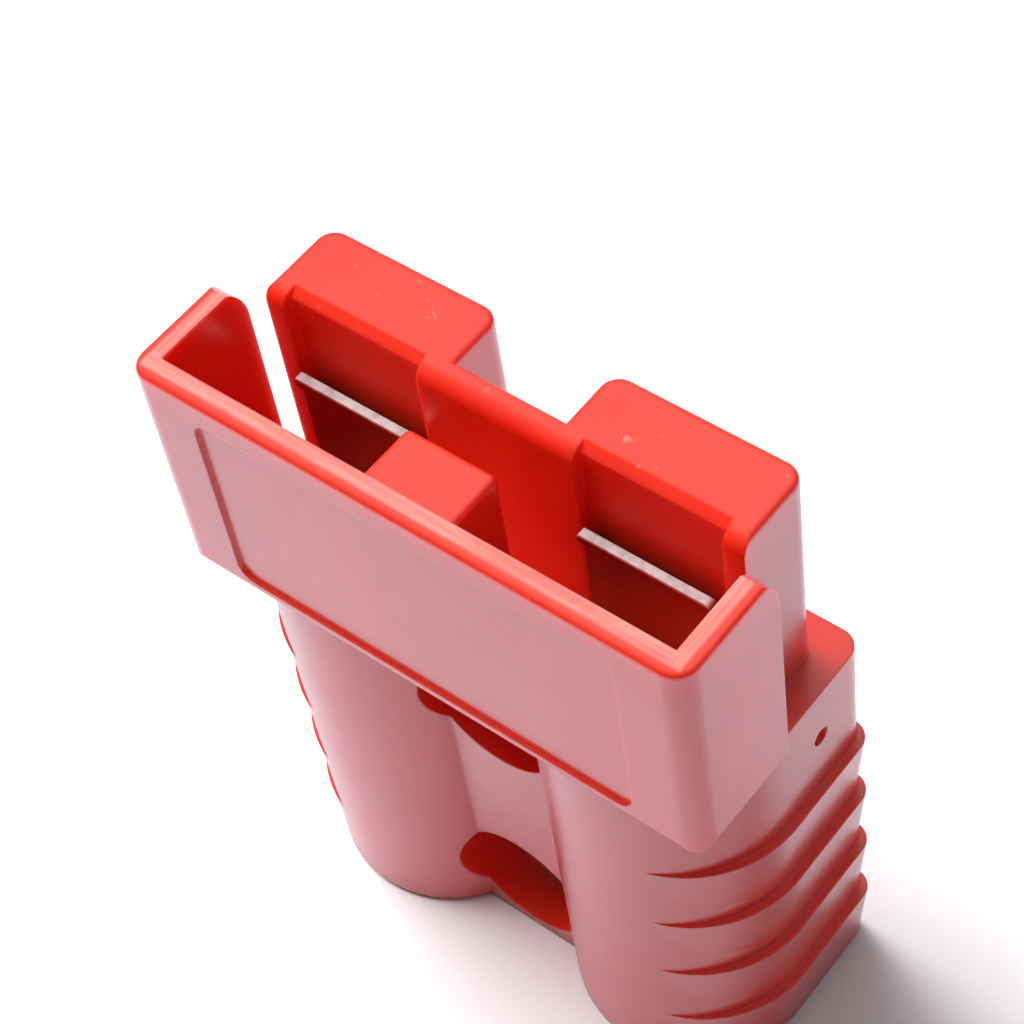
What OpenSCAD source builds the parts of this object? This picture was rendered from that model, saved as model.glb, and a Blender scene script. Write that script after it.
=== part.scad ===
// Two-pole genderless power connector. One half of the mating end is an open
// hood with a key, the other half is a pair of hollow tongues, so that the
// same part turned over plugs into it. It stands on its wire-entry end with
// the mating end up: X runs across the poles, the hood faces -Y and the flat
// mounting face is +Y. The origin is the centre of the wire-entry end.

/* [Housing] */
// Width across the hood
housing_w = 36.6; // [35.6:0.1:42]
// Thickness, from the hood face to the mounting face
housing_t = 16; // [15.4:0.1:18]
// Length, from the wire-entry end to the hood rim
housing_l = 47.8; // [46.6:0.1:60]
// Width of the body behind the hood
body_w = 35.3; // [34.4:0.1:35.6]
// Distance between the two contact axes
pole_pitch = 19.7; // [19.5:0.1:20.2]
// Depth of the front panel between the barrels, from the barrel fronts
panel_depth = 3.3; // [2.5:0.1:4]
// Height of the shoulder that the mate's rim lands on, below the hood rim
shoulder_drop = 16.1; // [15.6:0.1:17]
// Radius of the upright corners on the mounting face
body_corner_r = 1.3; // [0.5:0.1:2]
// Rounding of the edges at the wire-entry end
foot_round = 0.6; // [0.3:0.1:0.9]

/* [Hood] */
// Height of the hood, from its lower lip to its rim
hood_h = 16.4; // [16:0.1:17]
// Thickness of the hood's front wall
hood_wall = 1.5; // [1.2:0.1:1.7]
// Thickness of the hood's side walls
hood_side_wall = 1.4; // [1:0.1:1.6]
// Thickness of the hood's floor
hood_floor = 1.4; // [1.2:0.1:1.8]
// How far the hood stands out from the barrel fronts
hood_step = 0.6; // [0.5:0.1:1.2]
// Radius of the hood's upright corners
hood_corner_r = 1.4; // [1:0.1:2]
// Rounding of the hood's outer rim
rim_round = 0.4; // [0.2:0.05:0.5]
// Height of the rounding at the side walls' free upper corners
side_tip_drop = 2.5; // [1.5:0.1:3]
// Reach of that rounding along the rim
side_tip_reach = 1.2; // [0.6:0.1:1.4]
// Gap between the side walls' ends and the middle plane
middle_gap = 0.1; // [0.05:0.05:0.3]
// Width of the shallow panel in the hood face
label_w = 27.8; // [20:0.1:30]
// Distance from the panel to the hood rim
label_top = 1.8; // [1.2:0.1:4]
// Distance from the panel to the hood's lower lip
label_bottom = 0.8; // [0.6:0.1:3]
// Depth of the panel
label_depth = 0.25; // [0.1:0.05:0.4]
// Corner radius of the panel
label_r = 1.1; // [0.5:0.1:2]

/* [Key] */
// Width of the key in the hood
key_w = 6; // [5:0.1:6.6]
// Reach of the key from the hood's front wall
key_reach = 3.8; // [3:0.1:4.2]
// Side clearance of the key in the mate's slot
key_gap = 0.65; // [0.3:0.05:0.8]
// Rounding of the key's edges
key_round = 0.4; // [0.2:0.05:0.6]

/* [Tongues] */
// How far the tongues end below the hood rim
tongue_drop = 0.3; // [0.1:0.05:0.6]
// Clearance between a tongue's side and the mate's hood
tongue_side_gap = 1.05; // [0.9:0.05:1.3]
// Clearance between a tongue's back and the mate's hood
tongue_back_gap = 0.4; // [0.3:0.05:0.7]
// Distance from the middle plane to the tongue walls' front edges
tongue_front = 0.45; // [0.3:0.05:0.6]
// Lead-in radius on the tongues' and the web's front edges
lead_in_r = 1.1; // [0.6:0.1:1.3]
// Radius of the tongues' upright back corners
tongue_corner_r = 1.2; // [1:0.1:1.8]
// Rounding of the tongues' top edges
tongue_round = 0.45; // [0.2:0.05:0.6]
// Clearance between the blade's back and the pocket's back wall
pocket_gap = 0.09; // [0.05:0.01:0.2]
// Chamfer at the top of the pocket's back wall
pocket_chamfer = 0.55; // [0.3:0.05:0.7]
// Height of the solid end above the spring chamber
tongue_end = 7.3; // [6.4:0.1:8]
// Thickness of the web that joins the tongues
web_t = 1.5; // [1.2:0.1:2]
// Thickness of the wall behind the spring chamber
tongue_back_wall = 1.5; // [1.2:0.1:1.7]

/* [Wire entry] */
// Diameter of the wire entry, for the cable's insulation
entry_d = 10; // [9.8:0.1:10.2]
// Depth of the wire entry
entry_depth = 9; // [8:0.1:10]
// Chamfer at the mouth of the wire entry
entry_chamfer = 0.5; // [0.2:0.1:0.7]
// Clearance round the contact's barrel in its bore
barrel_gap = 0.35; // [0.1:0.05:0.4]

/* [Grip] */
// Number of grip teeth on each side
teeth = 4; // [2:1:4]
// Distance from one tooth to the next
tooth_pitch = 5.7; // [5:0.1:5.9]
// Height of the lowest tooth's ledge above the wire-entry end
tooth_low = 6; // [5.8:0.1:7]
// Width of a tooth's ledge
tooth_depth = 0.6; // [0.3:0.05:0.65]
// How far the teeth sink into the barrel fronts, where they fade out
tooth_fade = 0.3; // [0.2:0.05:0.4]
// How far each tooth starts inside the body's side
tooth_sink = 0.1; // [0.05:0.05:0.2]
// Diameter of the shallow dimple on each side face
dimple_d = 1.2; // [0.8:0.1:1.6]
// Depth of the dimple
dimple_depth = 0.3; // [0.1:0.05:0.5]
// Distance from the dimple to the mounting face
dimple_back = 4.3; // [3:0.1:6]
// Distance from the dimple to the shoulder
dimple_drop = 4.1; // [2:0.1:6]

/* [Mounting] */
// Diameter of the two mounting holes
mount_d = 3.6; // [3:0.1:4]
// Distance between the mounting holes
mount_pitch = 19.1; // [18.6:0.1:19.6]
// Height of the lower mounting hole above the wire-entry end
mount_low = 5.2; // [5.1:0.1:5.8]
// Diameter of the clearance for each screw head
head_d = 9; // [8:0.1:9.4]
// Depth of that clearance, from the barrel fronts
head_depth = 6.2; // [5:0.1:6.6]
// Wall round each mounting hole on the mounting face
boss_wall = 1.5; // [1.4:0.1:1.8]
// Width of the channel in the mounting face
channel_w = 6; // [5:0.1:6.2]
// Depth of that channel
channel_depth = 7; // [5:0.1:7.2]
// Length of the channel above the upper mounting hole's wall
channel_end = 0.4; // [0.2:0.1:1]

/* [Contacts] */
// Width of the contact blade
contact_w = 8.4; // [8:0.1:8.8]
// Thickness of the contact blade
contact_t = 1.05; // [0.8:0.05:1.2]
// How far the nose stands past the middle plane when unmated
contact_proud = 0.54; // [0.3:0.02:0.7]
// Distance from the blade's nose to the hood rim
nose_drop = 5.65; // [4.5:0.05:6]
// Thickness of the bent nose
nose_t = 0.55; // [0.5:0.05:0.8]
// Height of the nose, which hooks over the mate's
nose_h = 0.7; // [0.5:0.05:1]
// How far the nose stands out from the blade's face
nose_reach = 0.45; // [0.3:0.05:0.5]
// Length of the taper behind the nose
nose_taper = 1.9; // [1.2:0.1:2.2]
// Corner radius of the nose
nose_r = 0.3; // [0.1:0.05:0.6]
// Clearance between the blade and the pocket's sides
contact_side_gap = 0.45; // [0.2:0.05:0.5]
// Clearance in front of the nose where it passes the bulkhead
contact_front_gap = 0.5; // [0.3:0.05:0.8]
// Outer diameter of the crimp barrel
crimp_d = 8.8; // [8:0.1:8.9]
// Bore of the crimp barrel, for the bare conductor
crimp_bore_d = 6.2; // [5.5:0.1:6.4]
// Length of the crimp barrel
crimp_l = 12; // [10:0.1:12.4]
// Depth of the crimp barrel's bore
crimp_bore_l = 10.5; // [8:0.1:11]
// Distance from the wire entry's step to the crimp barrel
crimp_set_back = 2; // [1.6:0.1:2.6]
// Length of the flattened neck between barrel and blade
neck_l = 4.5; // [4:0.1:5]
// Least clearance between the flattened neck and its bore
neck_gap = 0.08; // [0.05:0.01:0.1]

/* [Springs] */
// Thickness of the leaf springs
spring_t = 0.5; // [0.3:0.05:0.6]
// Width of the leaf springs
spring_w = 8.2; // [8:0.1:8.4]
// Distance from the spring's free end to the top of its chamber
spring_end_gap = 0.4; // [0.2:0.1:0.8]
// Length of the spring's curled free end
spring_curl_l = 1.8; // [1:0.1:2.4]
// Drop of the curled end from the contact
spring_curl = 0.5; // [0.3:0.05:0.6]
// Length of the flat foot of the spring
spring_foot_l = 3; // [2:0.1:3.5]
// Gap left between the springs and what they bear on
seat_gap = 0.03; // [0.02:0.01:0.08]

/* [Hidden] */
$fn = 64;
over = 1;
lap = 0.5;
plastic = [0.86, 0.13, 0.10];
silver = [0.80, 0.80, 0.80];
steel = [0.62, 0.64, 0.66];

// Faces of the housing
y_hood = -housing_t / 2;
y_mount = housing_t / 2;
y_barrel = y_hood + hood_step;
z_hood = housing_l - hood_h;
z_floor = z_hood + hood_floor;
z_shoulder = housing_l - shoulder_drop;
z_tongue = housing_l - tongue_drop;

// Poles: the barrel's round front is as wide as the body allows
pole_x = pole_pitch / 2;
barrel_r = body_w / 2 - pole_x;
pole_y = y_barrel + barrel_r;

// Hood cavity and tongues
cavity_w = housing_w - 2 * hood_side_wall;
tongue_in = key_w / 2 + key_gap;
tongue_out = cavity_w / 2 - tongue_side_gap;
tongue_back = y_mount - hood_wall - tongue_back_gap;

// Pocket, spring chamber and bulkhead slot of one pole
pocket_w = contact_w + 2 * contact_side_gap;
y_chamber = tongue_back - tongue_back_wall;
z_chamber = z_tongue - tongue_end;
y_nose = -contact_proud;
y_blade = y_nose + nose_reach;
y_pocket = y_blade + contact_t + pocket_gap;
y_slot = y_nose - contact_front_gap;

// Contact along its length
z_crimp = entry_depth + crimp_set_back;
z_neck = z_crimp + crimp_l;
z_blade = z_neck + neck_l;
z_nose = housing_l - nose_drop;
bore_r = crimp_d / 2 + barrel_gap;

// Mounting holes
mount_z = [mount_low, mount_low + mount_pitch];
y_head = y_barrel + head_depth;
boss_r = mount_d / 2 + boss_wall;

// ---- shared shapes -------------------------------------------------------

// The sliver outside a rounded corner whose sharp point is at the origin
module corner_sliver(r) {
  difference() {
    translate([-r, -r]) square(r + over);
    translate([-r, -r]) circle(r);
  }
}

// Cutters that round a straight edge along X or Y
module round_x(r, l) {
  rotate([90, 0, 90]) linear_extrude(l, center = true) corner_sliver(r);
}

module round_y(r, l) {
  rotate([90, 0, 0]) linear_extrude(l, center = true) corner_sliver(r);
}

module both_sides() {
  children();
  mirror([1, 0, 0]) children();
}

// A block with upright corners of radius r and its top edges rounded by e
module soft_block(w, d, h, r, e) {
  difference() {
    translate([-w / 2 + r, -d / 2, 0]) cube([w - 2 * r, d, h]);
    for (s = [0, 1]) mirror([0, s, 0]) translate([0, d / 2, h]) round_x(e, w);
  }
  difference() {
    translate([-w / 2, -d / 2 + r, 0]) cube([w, d - 2 * r, h]);
    both_sides() translate([w / 2, 0, h]) round_y(e, d);
  }
  for (x = [-1, 1], y = [-1, 1])
    translate([x * (w / 2 - r), y * (d / 2 - r), 0]) soft_post(r, h, e);
}

// A round post with its top edge rounded by e
module soft_post(r, h, e) {
  cylinder(r = r, h = h - e);
  translate([0, 0, h - e]) rotate_extrude() difference() {
    square([r, e]);
    translate([r, e]) corner_sliver(e);
  }
}

// ---- housing -------------------------------------------------------------

// Plan outline of one pole, square towards the mounting face
module pole_outline(inset) {
  translate([pole_x + inset, pole_y]) circle(barrel_r - inset);
  difference() {
    translate([pole_x, pole_y]) square([barrel_r, y_mount - pole_y]);
    translate([body_w / 2, y_mount]) corner_sliver(body_corner_r);
  }
}

// Saw teeth down one side: each leans outwards up to a flat ledge, and runs
// out where it meets the round front of the barrel
module grip_teeth() {
  lean = atan((tooth_depth + tooth_sink) / tooth_pitch);
  spare = tooth_pitch / 2;
  for (i = [0 : teeth - 1]) {
    z_foot = max(1.5 * foot_round, tooth_low + (i - 1) * tooth_pitch);
    z_ledge = tooth_low + i * tooth_pitch;
    intersection() {
      translate([0, y_hood, z_foot]) cube([housing_w, housing_t, z_ledge - z_foot]);
      translate([body_w / 2 - tooth_sink, 0, z_ledge - tooth_pitch]) rotate([0, lean, 0])
        translate([-body_w / 2, 0, -spare]) linear_extrude(tooth_pitch + 2 * spare)
          pole_outline(tooth_fade);
    }
  }
}

// The two barrels, the panel between them and the flat mounting side
module body_solid() {
  difference() {
    both_sides() translate([pole_x, pole_y, z_shoulder]) mirror([0, 0, 1])
      soft_post(barrel_r, z_shoulder, foot_round);
    translate([-housing_w, pole_y + over, -over])
      cube([2 * housing_w, housing_t, housing_l]);
  }
  difference() {
    translate([0, 0, z_shoulder]) mirror([0, 0, 1])
      soft_block(body_w, housing_t, z_shoulder, body_corner_r, foot_round);
    translate([-housing_w, -housing_t + pole_y, -over])
      cube([2 * housing_w, housing_t, housing_l]);
  }
  translate([-pole_x, y_barrel + panel_depth, 0])
    cube([pole_pitch, pole_y - y_barrel - panel_depth + over, z_shoulder]);
  both_sides() grip_teeth();
}

// Shallow dimple left by a mould pin on each side face
module side_dimple() {
  translate([body_w / 2 - dimple_depth, y_mount - dimple_back, z_shoulder - dimple_drop])
    rotate([0, 90, 0]) cylinder(d = dimple_d, h = dimple_depth + over);
}

// Channel in the mounting face, with a boss left round each mounting hole
module mount_channel() {
  difference() {
    translate([-channel_w / 2, y_mount - channel_depth, -over])
      cube([channel_w, channel_depth + over, mount_z[1] + boss_r + channel_end + over]);
    for (z = mount_z) translate([0, y_mount, z]) rotate([90, 0, 0])
      cylinder(r = boss_r, h = channel_depth + over);
  }
}

// Mounting holes with round clearances for the screw heads
module mount_holes() {
  for (z = mount_z) translate([0, 0, z]) {
    translate([0, y_mount + over, 0]) rotate([90, 0, 0])
      cylinder(d = mount_d, h = housing_t + 2 * over);
    translate([0, y_head, 0]) rotate([90, 0, 0]) cylinder(d = head_d, h = housing_t);
  }
}

module hood_solid() {
  depth = housing_t + 2 * hood_corner_r;
  difference() {
    translate([0, y_hood + depth / 2, z_hood])
      soft_block(housing_w, depth, hood_h, hood_corner_r, rim_round);
    translate([-housing_w, -middle_gap, z_floor])
      cube([2 * housing_w, 2 * housing_t, hood_h]);
    translate([-housing_w, tongue_front + web_t, z_hood - over])
      cube([2 * housing_w, 2 * housing_t, hood_h]);
    both_sides() translate([tongue_out, -middle_gap, z_hood - over])
      cube([housing_w, 2 * housing_t, hood_h]);
    translate([-cavity_w / 2, y_hood + hood_wall, z_floor])
      cube([cavity_w, housing_t, hood_h]);
    side_tip();
    translate([0, y_hood, z_hood]) mirror([0, 1, 0]) mirror([0, 0, 1])
      round_x(rim_round, 2 * housing_w);
    both_sides() translate([housing_w / 2, 0, z_hood]) mirror([0, 0, 1])
      round_y(rim_round, 2 * housing_t);
    label_panel();
  }
}

// Cutter for the side walls' free upper corners: an arc that leaves the
// upright end smoothly and meets the rim at an angle
module side_tip() {
  r = (pow(side_tip_drop, 2) + pow(side_tip_reach, 2)) / (2 * side_tip_reach);
  translate([0, -middle_gap, housing_l - side_tip_drop])
    rotate([90, 0, 90]) linear_extrude(2 * housing_w, center = true) difference() {
      translate([-r, 0]) square([r + over, side_tip_drop + over]);
      translate([-r, 0]) circle(r);
    }
}

// Shallow blank panel in the hood face
module label_panel() {
  h = hood_h - label_top - label_bottom;
  translate([0, y_hood + label_depth, z_hood + label_bottom + h / 2])
    rotate([90, 0, 0]) linear_extrude(over) difference() {
      square([label_w, h], center = true);
      for (x = [0, 1], y = [0, 1]) mirror([x, 0, 0]) mirror([0, y, 0])
        translate([label_w / 2, h / 2]) corner_sliver(label_r);
    }
}

// Key that enters the slot between the mate's tongues
module key() {
  reach = key_reach + hood_wall;
  y_front = y_hood + hood_wall + key_reach;
  difference() {
    translate([0, y_front - reach / 2, z_floor - over])
      soft_block(key_w, reach, z_tongue - z_floor + over, key_round, key_round);
    translate([-key_w, y_hood - over, 0]) cube([2 * key_w, hood_wall / 2 + over, housing_l]);
  }
}

// One tongue: a block with its pocket open towards the hood
module tongue() {
  w = tongue_out - tongue_in;
  depth = tongue_back - tongue_front + tongue_corner_r + tongue_round;
  difference() {
    translate([tongue_in + w / 2, tongue_back - depth / 2, z_shoulder - over])
      soft_block(w, depth, z_tongue - z_shoulder + over, tongue_corner_r, tongue_round);
    translate([0, tongue_front - housing_t, z_shoulder - 2 * over])
      cube([housing_w, housing_t, housing_l]);
    lead_in();
  }
}

// Web that joins the tongues and meets the mate's key
module web() {
  difference() {
    translate([-tongue_in - tongue_round, tongue_front, z_shoulder - over])
      cube([2 * (tongue_in + tongue_round), web_t, z_tongue - z_shoulder + over]);
    lead_in();
    translate([0, tongue_front + web_t, z_tongue])
      round_x((web_t - lead_in_r) / 2, housing_w);
  }
}

module lead_in() {
  translate([0, tongue_front, z_tongue]) mirror([0, 1, 0])
    round_x(lead_in_r, 2 * housing_w);
}

// Everything cut for one pole, from the wire entry up to the pocket
module pole_passage() {
  translate([pole_x, pole_y, 0]) {
    translate([0, 0, -over]) cylinder(d = entry_d, h = entry_depth + over);
    translate([0, 0, -over])
      cylinder(r1 = entry_d / 2 + entry_chamfer + over, r2 = entry_d / 2,
               h = entry_chamfer + over);
    cylinder(r = bore_r, h = z_blade);
  }
  translate([pole_x - pocket_w / 2, y_slot, z_blade - lap])
    cube([pocket_w, y_chamber - y_slot, z_floor - z_blade + lap]);
  translate([pole_x - pocket_w / 2, 0, z_floor - over])
    cube([pocket_w, y_chamber, z_chamber - z_floor + over]);
  translate([pole_x - pocket_w / 2, 0, z_floor - over])
    cube([pocket_w, y_pocket, hood_h]);
  translate([pole_x, y_pocket, z_tongue]) rotate([90, 0, 90])
    linear_extrude(pocket_w, center = true)
      polygon([[-over, over], [pocket_chamfer + over, over],
               [0, -pocket_chamfer], [-over, -pocket_chamfer]]);
}

module housing() {
  color(plastic) difference() {
    union() {
      difference() {
        body_solid();
        mount_channel();
        mount_holes();
        both_sides() side_dimple();
      }
      hood_solid();
      key();
      both_sides() tongue();
      web();
    }
    both_sides() pole_passage();
  }
}

// ---- contacts ------------------------------------------------------------

// Side view of neck and blade: the barrel is flattened to a blade with a flat
// face, whose nose is coined thin from behind and bent forwards
module blade_profile() {
  r = crimp_d / 2;
  polygon([[pole_y - r, z_neck], [y_blade, z_blade], [y_blade, z_nose - nose_h],
           [y_nose, z_nose - nose_h], [y_nose, z_nose], [y_nose + nose_t, z_nose],
           [y_blade + contact_t, z_nose - nose_taper],
           [y_blade + contact_t, z_blade], [pole_y + r, z_neck]]);
}

// Front view of neck and blade, with a rounded nose
module blade_outline() {
  difference() {
    translate([-contact_w / 2, z_neck]) square([contact_w, z_nose - z_neck]);
    for (s = [0, 1]) mirror([s, 0]) translate([contact_w / 2, z_nose])
      corner_sliver(nose_r);
  }
}

module contact() {
  difference() {
    union() {
      translate([pole_x, pole_y, z_crimp]) cylinder(d = crimp_d, h = crimp_l);
      intersection() {
        translate([pole_x, 0, 0]) rotate([90, 0, 90])
          linear_extrude(crimp_d, center = true) blade_profile();
        translate([pole_x, housing_t / 2, 0]) rotate([90, 0, 0])
          linear_extrude(housing_t) blade_outline();
        translate([pole_x, pole_y, z_neck - over])
          cylinder(r = bore_r - neck_gap, h = housing_l);
      }
    }
    translate([pole_x, pole_y, z_crimp - over])
      cylinder(d = crimp_bore_d, h = crimp_bore_l + over);
  }
}

module contact_left() {
  color(silver) mirror([1, 0, 0]) contact();
}

module contact_right() {
  color(silver) contact();
}

// ---- springs -------------------------------------------------------------

// Leaf spring in side view: a flat foot against the chamber's back wall, an
// S-bend up to the back of the blade, and a free end curled away from it
spring_steps = 24;
y_foot = y_chamber - spring_t / 2 - seat_gap;
y_bear = y_blade + contact_t + spring_t / 2 + seat_gap;
z_spring = z_blade + seat_gap;
z_bend = z_spring + spring_foot_l;
z_free = z_chamber - spring_end_gap;
z_bear = z_free - spring_curl_l;

function spring_y(z) =
  z < z_bend ? y_foot
  : z < z_bear ? y_bear + (y_foot - y_bear) * (1 + cos(180 * (z - z_bend) / (z_bear - z_bend))) / 2
  : y_bear + spring_curl * pow((z - z_bear) / spring_curl_l, 2);

function spring_slope(z) = (spring_y(z + 0.01) - spring_y(z - 0.01)) / 0.02;

// A point on one face of the leaf, offset square to its middle line
function spring_face(z, side) =
  let (m = spring_slope(z), n = sqrt(1 + m * m) / (spring_t / 2))
  [spring_y(z) + side / n, z - side * m / n];

module spring_leaf() {
  zs = concat([z_spring], [for (i = [0 : spring_steps]) z_bend + i * (z_free - z_bend) / spring_steps]);
  last = len(zs) - 1;
  translate([pole_x, 0, 0]) rotate([90, 0, 90]) linear_extrude(spring_w, center = true)
    polygon(concat([for (i = [0 : last]) spring_face(zs[i], -1)],
                   [for (i = [last : -1 : 0]) spring_face(zs[i], 1)]));
}

module spring_left() {
  color(steel) mirror([1, 0, 0]) spring_leaf();
}

module spring_right() {
  color(steel) spring_leaf();
}

housing();
contact_left();
contact_right();
spring_left();
spring_right();
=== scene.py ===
import math

import bpy
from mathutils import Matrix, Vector


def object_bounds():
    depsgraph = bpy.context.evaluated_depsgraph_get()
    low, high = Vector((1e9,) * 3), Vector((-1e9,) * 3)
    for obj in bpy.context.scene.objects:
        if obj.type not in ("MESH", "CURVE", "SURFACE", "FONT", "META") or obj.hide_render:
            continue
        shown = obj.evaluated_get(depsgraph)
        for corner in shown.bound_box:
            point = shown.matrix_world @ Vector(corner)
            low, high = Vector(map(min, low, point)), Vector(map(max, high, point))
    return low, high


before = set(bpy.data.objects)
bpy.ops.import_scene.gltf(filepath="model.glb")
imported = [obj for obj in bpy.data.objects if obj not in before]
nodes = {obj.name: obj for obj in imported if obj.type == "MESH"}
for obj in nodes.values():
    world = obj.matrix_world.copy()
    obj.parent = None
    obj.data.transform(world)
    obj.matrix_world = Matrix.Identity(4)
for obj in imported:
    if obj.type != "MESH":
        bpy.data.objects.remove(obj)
cad_low, cad_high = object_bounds()


# ---- Housing ---------------------------------------------------------------
# One injection moulding in red polycarbonate: the open hood with its key, the
# two hollow tongues, the barrels with their grip teeth and the mounting face.
# It is glossy and a little translucent. Its tops and rim are painted paler:
# rubbed where the mate slides on, and painted glints and sheen of light.

def noise(tree, coords, size, detail, rough):
    """Noise whose features are about size metres across."""
    node = tree.nodes.new("ShaderNodeTexNoise")
    node.inputs["Scale"].default_value = 1.0 / size
    node.inputs["Detail"].default_value = detail
    node.inputs["Roughness"].default_value = rough
    tree.links.new(coords, node.inputs["Vector"])
    return node.outputs["Fac"]


def ramp(tree, value, low, high, at_low=0.0, at_high=1.0):
    """Goes from at_low to at_high as value goes from low to high, and holds outside."""
    node = tree.nodes.new("ShaderNodeMapRange")
    limits = {"From Min": low, "From Max": high, "To Min": at_low, "To Max": at_high}
    for name, number in limits.items():
        node.inputs[name].default_value = number
    tree.links.new(value, node.inputs["Value"])
    return node.outputs["Result"]


def blend(tree, factor, first, second):
    """Mixes two colours, each a socket or an RGB triple."""
    node = tree.nodes.new("ShaderNodeMix")
    node.data_type = "RGBA"
    tree.links.new(factor, node.inputs["Factor"])
    for end, colour in (("A", first), ("B", second)):
        socket = next(s for s in node.inputs if s.name == end and s.type == "RGBA")
        if isinstance(colour, tuple):
            socket.default_value = (*colour, 1.0)
        else:
            tree.links.new(colour, socket)
    return next(s for s in node.outputs if s.type == "RGBA")


def join(tree, operation, first, second):
    """One Math node; each side is a socket or a number."""
    node = tree.nodes.new("ShaderNodeMath")
    node.operation = operation
    for socket, value in zip(node.inputs, (first, second)):
        if isinstance(value, (int, float)):
            socket.default_value = value
        else:
            tree.links.new(value, socket)
    return node.outputs["Value"]


def product(tree, *factors):
    """All the factors multiplied together."""
    total = factors[0]
    for factor in factors[1:]:
        total = join(tree, "MULTIPLY", total, factor)
    return total


def stretched(tree, coords, scale):
    """Coordinates scaled along each axis, to draw a pattern out into lines."""
    node = tree.nodes.new("ShaderNodeMapping")
    node.inputs["Scale"].default_value = scale
    tree.links.new(coords, node.inputs["Vector"])
    return node.outputs["Vector"]


def axes(tree, coords):
    """The X, Y and Z of the coordinates."""
    node = tree.nodes.new("ShaderNodeSeparateXYZ")
    tree.links.new(coords, node.inputs["Vector"])
    return [node.outputs[axis] for axis in "XYZ"]


def relief(tree, shader, pattern, strength, depth, edge_radius, edge_samples):
    """Shades the edges as rounded and the faces as raised by the pattern."""
    edge = tree.nodes.new("ShaderNodeBevel")
    edge.samples = edge_samples
    edge.inputs["Radius"].default_value = edge_radius
    bump = tree.nodes.new("ShaderNodeBump")
    bump.inputs["Strength"].default_value = strength
    bump.inputs["Distance"].default_value = depth
    tree.links.new(pattern, bump.inputs["Height"])
    tree.links.new(edge.outputs["Normal"], bump.inputs["Normal"])
    tree.links.new(bump.outputs["Normal"], shader.inputs["Normal"])


def new_material(name):
    """A material with its shader and the piece's own coordinates."""
    made = bpy.data.materials.new(name)
    made.use_nodes = True
    tree = made.node_tree
    place = tree.nodes.new("ShaderNodeTexCoord").outputs["Object"]
    return made, tree, tree.nodes["Principled BSDF"], place


def dress(node_name, material):
    """Gives a CAD node its finish."""
    piece = nodes[node_name]
    for slot in piece.material_slots:
        slot.material = material
    if not piece.material_slots:
        piece.data.materials.append(material)


plain_red = (0.82, 0.026, 0.008)
light_red = (0.87, 0.034, 0.011)
# The pale red is partly rubbing wear and partly painted glints and sheen of light.
pale_wear_and_glint_red = (0.95, 0.46, 0.41)

red, tree, shader, place = new_material("moulded_red_polycarbonate")
x, y, z = axes(tree, place)
from_middle = join(tree, "ABSOLUTE", x, 0.0)
flow = noise(tree, place, size=0.009, detail=4.0, rough=0.55)
moulded = blend(tree, ramp(tree, flow, 0.35, 0.65), plain_red, light_red)

# Each pair of heights or places below is where a finish starts and where it is
# full. Some are counted from the hood's rim, its front face or its sides.
rim_z = cad_high[2]
front_y = cad_low[1]
side_x = cad_high[0]

# Pale scuffs and painted glints on all that ends near the rim's height: the
# tongues, the web, the key and the rim itself. The mate rubs these tops, and the
# pale specks also stand in for glints of light on them.
tops_z = (rim_z - 0.0008, rim_z - 0.0001)
specks = noise(tree, place, size=0.0008, detail=2.0, rough=0.5)
patches = noise(tree, place, size=0.0028, detail=2.0, rough=0.5)
scuff_and_glint = product(tree, ramp(tree, specks, 0.68, 0.76), ramp(tree, patches, 0.46, 0.60),
                ramp(tree, z, *tops_z))

# The flat of the hood's rim is painted paler, in streaks along it: partly rubbing
# wear, partly a painted sheen of light on the flat. The rounding outside the flat
# keeps the full colour.
flat_z = (rim_z - 0.0003, rim_z - 0.00005)
flat_y = (front_y + 0.00048, front_y + 0.00070)
flat_x = (side_x - 0.00048, side_x - 0.00070)
flat = product(tree, ramp(tree, z, *flat_z), ramp(tree, y, *flat_y),
               ramp(tree, from_middle, *flat_x))
front_wall_y = (front_y + 0.0022, front_y + 0.0017)
side_wall_x = (side_x - 0.0019, side_x - 0.0015)
front_wall = ramp(tree, y, *front_wall_y)
side_wall = ramp(tree, from_middle, *side_wall_x)
for wall, drawn_out in ((front_wall, (0.05, 1.0, 1.0)), (side_wall, (1.0, 0.05, 1.0))):
    fine_lines = noise(tree, stretched(tree, place, drawn_out),
                       size=0.00028, detail=3.0, rough=0.6)
    streaks = ramp(tree, fine_lines, 0.35, 0.65, at_low=0.45, at_high=1.0)
    scuff_and_glint = join(tree, "MAXIMUM", scuff_and_glint, product(tree, wall, flat, streaks))
scuff_and_glint_cover = 0.55
colour = blend(tree, join(tree, "MULTIPLY", scuff_and_glint, scuff_and_glint_cover), moulded, pale_wear_and_glint_red)
tree.links.new(colour, shader.inputs["Base Color"])

# The two pockets are matt inside, so the coat that covers the rest ends there
pocket_inner_x = (0.0048, 0.0051)
pocket_outer_x = (0.0149, 0.0146)
pocket_back_y = (0.0016, 0.0013)
pocket_front_y = (-0.0064, -0.0060)
pocket_top_z = (rim_z - 0.0010, rim_z - 0.0016)
pocket_floor_z = (0.0300, 0.0320)
pocket = product(tree,
                 ramp(tree, from_middle, *pocket_inner_x),
                 ramp(tree, from_middle, *pocket_outer_x),
                 ramp(tree, y, *pocket_back_y), ramp(tree, y, *pocket_front_y),
                 ramp(tree, z, *pocket_top_z), ramp(tree, z, *pocket_floor_z))
coat = ramp(tree, pocket, 0.0, 1.0, at_low=1.0, at_high=0.0)
tree.links.new(coat, shader.inputs["Coat Weight"])
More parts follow.
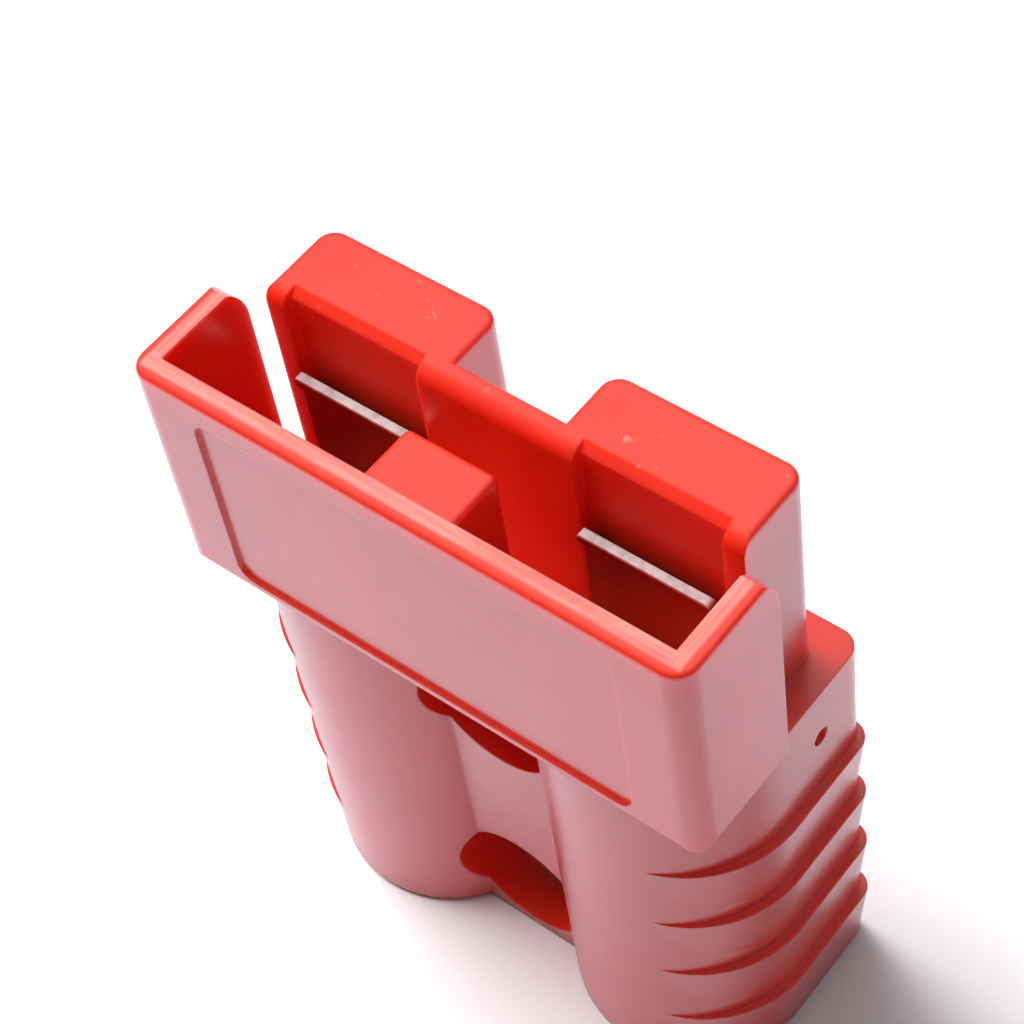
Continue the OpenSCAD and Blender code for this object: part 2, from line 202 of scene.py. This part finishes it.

# Elsewhere the roughness varies a little with handling. It stays above 0.28,
# because fine marks showed on the flat faces where it went lower.
scuff_and_glint_roughness = 0.3
pocket_roughness = 0.25
handled = noise(tree, place, size=0.006, detail=2.0, rough=0.5)
roughness = ramp(tree, handled, 0.15, 0.85, at_low=0.285, at_high=0.39)
for mask, added in ((scuff_and_glint, scuff_and_glint_roughness), (pocket, pocket_roughness)):
    roughness = join(tree, "ADD", roughness, join(tree, "MULTIPLY", mask, added))
tree.links.new(roughness, shader.inputs["Roughness"])
shader.inputs["IOR"].default_value = 1.65
shader.inputs["Coat Roughness"].default_value = 0.22
shader.inputs["Coat IOR"].default_value = 1.65
shader.inputs["Subsurface Weight"].default_value = 0.8
shader.inputs["Subsurface Radius"].default_value = (1.0, 0.10, 0.05)
shader.inputs["Subsurface Scale"].default_value = 0.0025

# Edges rounded by the mould, and a slight sink in the flat faces
sink = noise(tree, place, size=0.0075, detail=2.0, rough=0.4)
relief(tree, shader, sink, strength=0.35, depth=0.00008, edge_radius=0.0003, edge_samples=6)
dress("housing", red)


# ---- Contacts --------------------------------------------------------------
# Two copper contacts with a dull silver plating. Each is bent and coined from
# one tube, so the blade carries fine draw lines along its length.

plating = (0.92, 0.94, 0.94)
tarnished = (0.68, 0.69, 0.68)
# The darker colour is painted shade for the blade below the nose, down in the pocket.
painted_shade_metal = (0.34, 0.31, 0.30)

silver, tree, shader, place = new_material("dull_silver_plating")
drawn_lines = noise(tree, stretched(tree, place, (1.0, 1.0, 0.08)),
                    size=0.00025, detail=4.0, rough=0.6)
tarnish = noise(tree, place, size=0.0008, detail=4.0, rough=0.6)
nose_metal = blend(tree, ramp(tree, tarnish, 0.42, 0.62), plating, tarnished)

# The top of the coined nose is bright and matt; below it the metal is smoother,
# and its colour is darkened as painted shade, where the blade sits in shadow.
nose_z = (rim_z - 0.00592, rim_z - 0.00576)
nose = ramp(tree, axes(tree, place)[2], *nose_z)
tree.links.new(blend(tree, nose, painted_shade_metal, nose_metal), shader.inputs["Base Color"])
metallic = ramp(tree, nose, 0.0, 1.0, at_low=1.0, at_high=0.65)
tree.links.new(metallic, shader.inputs["Metallic"])
polish = ramp(tree, nose, 0.0, 1.0, at_low=0.30, at_high=0.55)
grooves = ramp(tree, drawn_lines, 0.3, 0.7, at_low=0.0, at_high=0.05)
tree.links.new(join(tree, "ADD", polish, grooves), shader.inputs["Roughness"])
relief(tree, shader, drawn_lines, strength=0.05, depth=0.00003,
       edge_radius=0.0001, edge_samples=4)
for name in ("contact_left", "contact_right"):
    dress(name, silver)


# ---- Springs ---------------------------------------------------------------
# Two leaf springs cut and bent from rolled stainless strip, one behind each
# contact. The rolling leaves fine lines along the strip.

dark_line = (0.50, 0.50, 0.49)
light_line = (0.62, 0.62, 0.60)

steel, tree, shader, place = new_material("rolled_spring_strip")
rolled_lines = noise(tree, stretched(tree, place, (1.0, 0.1, 0.1)),
                     size=0.00015, detail=4.0, rough=0.6)
colour = blend(tree, ramp(tree, rolled_lines, 0.3, 0.7), dark_line, light_line)
tree.links.new(colour, shader.inputs["Base Color"])
roughness = ramp(tree, rolled_lines, 0.3, 0.7, at_low=0.26, at_high=0.40)
tree.links.new(roughness, shader.inputs["Roughness"])
shader.inputs["Metallic"].default_value = 1.0
for name in ("spring_left", "spring_right"):
    dress(name, steel)


# ---- Studio ----------------------------------------------------------------
# A white card under one soft box and a bright ceiling. The camera looks down
# into the hood from the front right, turned a little on its own axis.

def seen_directly(tree):
    """1 where the camera looks straight at it, and 0 for light that bounces."""
    return tree.nodes.new("ShaderNodeLightPath").outputs["Is Camera Ray"]


floor_size = 0.4
bpy.ops.object.select_all(action="DESELECT")
bpy.ops.mesh.primitive_plane_add(size=floor_size, location=(0, 0, cad_low[2]))
floor = bpy.context.object
floor.name = "floor"

# The card is shown whiter than it bounces light, so the sides aren't washed out
bounced_white = (0.62, 0.64, 0.71)
shown_white = (0.90, 0.90, 0.92)
white, tree, shader, _ = new_material("white_card")
card = blend(tree, seen_directly(tree), bounced_white, shown_white)
tree.links.new(card, shader.inputs["Base Color"])
shader.inputs["Roughness"].default_value = 0.9
shader.inputs["Specular IOR Level"].default_value = 0.1
floor.data.materials.append(white)

# The soft box stands high on the left and faces the middle of the part. It is
# hidden from reflections, so that it leaves no highlight of its own.
box_place = Vector((-0.26, 0.0, 0.50))
part_middle = Vector((0.0, 0.0, 0.024))
box_size = 0.36
box_watts = 5.0
lamp = bpy.data.lights.new("key_box", "AREA")
lamp.shape = "RECTANGLE"
lamp.size = box_size
lamp.size_y = box_size
lamp.energy = box_watts
key = bpy.data.objects.new("key_box", lamp)
bpy.context.collection.objects.link(key)
key.location = box_place
key.rotation_euler = (part_middle - box_place).to_track_quat("-Z", "Y").to_euler()
key.visible_glossy = False

# The ceiling is bright and the walls are dim, and both are dimmer in front and on
# the right. The camera sees plain white behind the part.
world = bpy.data.worlds.new("studio")
bpy.context.scene.world = world
world.use_nodes = True
tree = world.node_tree
x, y, z = axes(tree, tree.nodes.new("ShaderNodeTexCoord").outputs["Generated"])
ceiling = ramp(tree, z, 0.30, 0.85, at_low=0.12, at_high=0.74)
front = ramp(tree, y, -0.55, 0.25, at_low=0.35, at_high=1.0)
right = ramp(tree, x, -0.2, 0.6, at_low=1.0, at_high=0.7)
room = tree.nodes["Background"]
room.inputs["Color"].default_value = (0.985, 0.985, 1.0, 1.0)
tree.links.new(product(tree, ceiling, front, right), room.inputs["Strength"])
backdrop = tree.nodes.new("ShaderNodeBackground")
backdrop.inputs["Color"].default_value = (1.0, 1.0, 1.0, 1.0)
backdrop.inputs["Strength"].default_value = 1.0
pick = tree.nodes.new("ShaderNodeMixShader")
tree.links.new(seen_directly(tree), pick.inputs[0])
tree.links.new(room.outputs["Background"], pick.inputs[1])
tree.links.new(backdrop.outputs["Background"], pick.inputs[2])
tree.links.new(pick.outputs["Shader"], tree.nodes["World Output"].inputs["Surface"])

camera_place = (0.06372, -0.05965, 0.15062)
camera_degrees = (37.590, 6.559, 38.159)
lens = bpy.data.cameras.new("camera")
lens.lens = 92.5
lens.sensor_width = 36.0
lens.clip_start = 0.01
camera = bpy.data.objects.new("camera", lens)
bpy.context.collection.objects.link(camera)
camera.location = camera_place
camera.rotation_euler = [math.radians(turn) for turn in camera_degrees]
bpy.context.scene.camera = camera
bpy.context.scene.view_settings.view_transform = "Standard"
